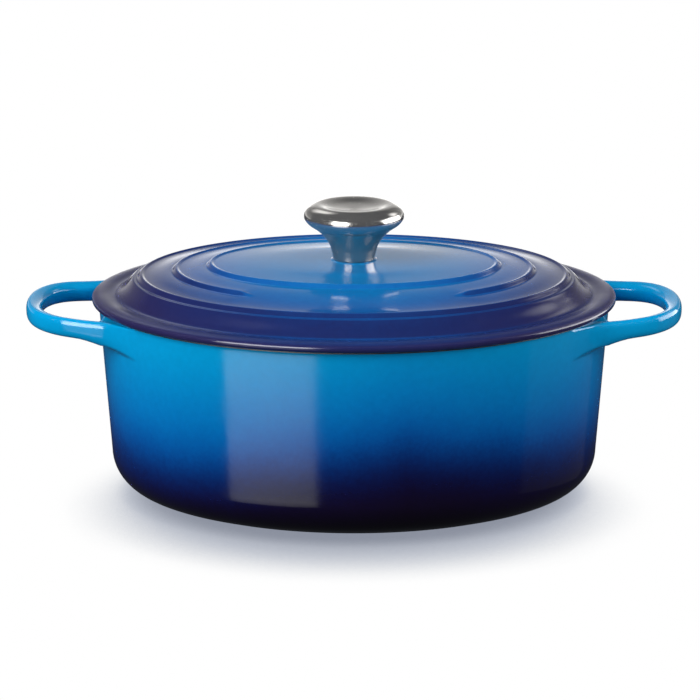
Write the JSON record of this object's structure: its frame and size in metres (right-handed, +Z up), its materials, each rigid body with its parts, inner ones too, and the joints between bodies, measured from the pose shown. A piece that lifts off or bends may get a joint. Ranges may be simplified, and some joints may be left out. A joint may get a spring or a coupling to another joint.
{
  "type": "dutch oven",
  "caption": "Oval enamelled cast iron cooking pot with two loop handles and a domed, ringed lid that lifts off by a flared steel knob.",
  "frame": {"origin": "middle of the pot's flat base, on the surface that it stands on", "axes": "+X along the long axis through the two handles, +Y to the back, +Z up through the knob"},
  "size_m": [0.3704, 0.234, 0.1658],
  "materials": {
    "pot_enamel": "glossy enamel shading from azure at the rim to near black at the base, pale matte enamel inside",
    "lid_enamel": "glossy enamel shading from mid blue at the middle to indigo at the edge, pale enamel underneath",
    "knob_steel": "satin stainless steel",
    "fastener_steel": "plain stainless steel"
  },
  "bodies": {
    "pot": {"pot": "pot_enamel"},
    "lid": {"lid": "lid_enamel", "knob_shell": "knob_steel", "knob_insert": "fastener_steel", "knob_screw": "fastener_steel", "lock_washer": "fastener_steel", "flat_washer": "fastener_steel"}
  },
  "joints": [
    {"name": "lid_lift", "type": "slide", "parent": "pot", "child": "lid", "axis": [0, 0, 1], "range_m": [0, 0.18]}
  ]
}
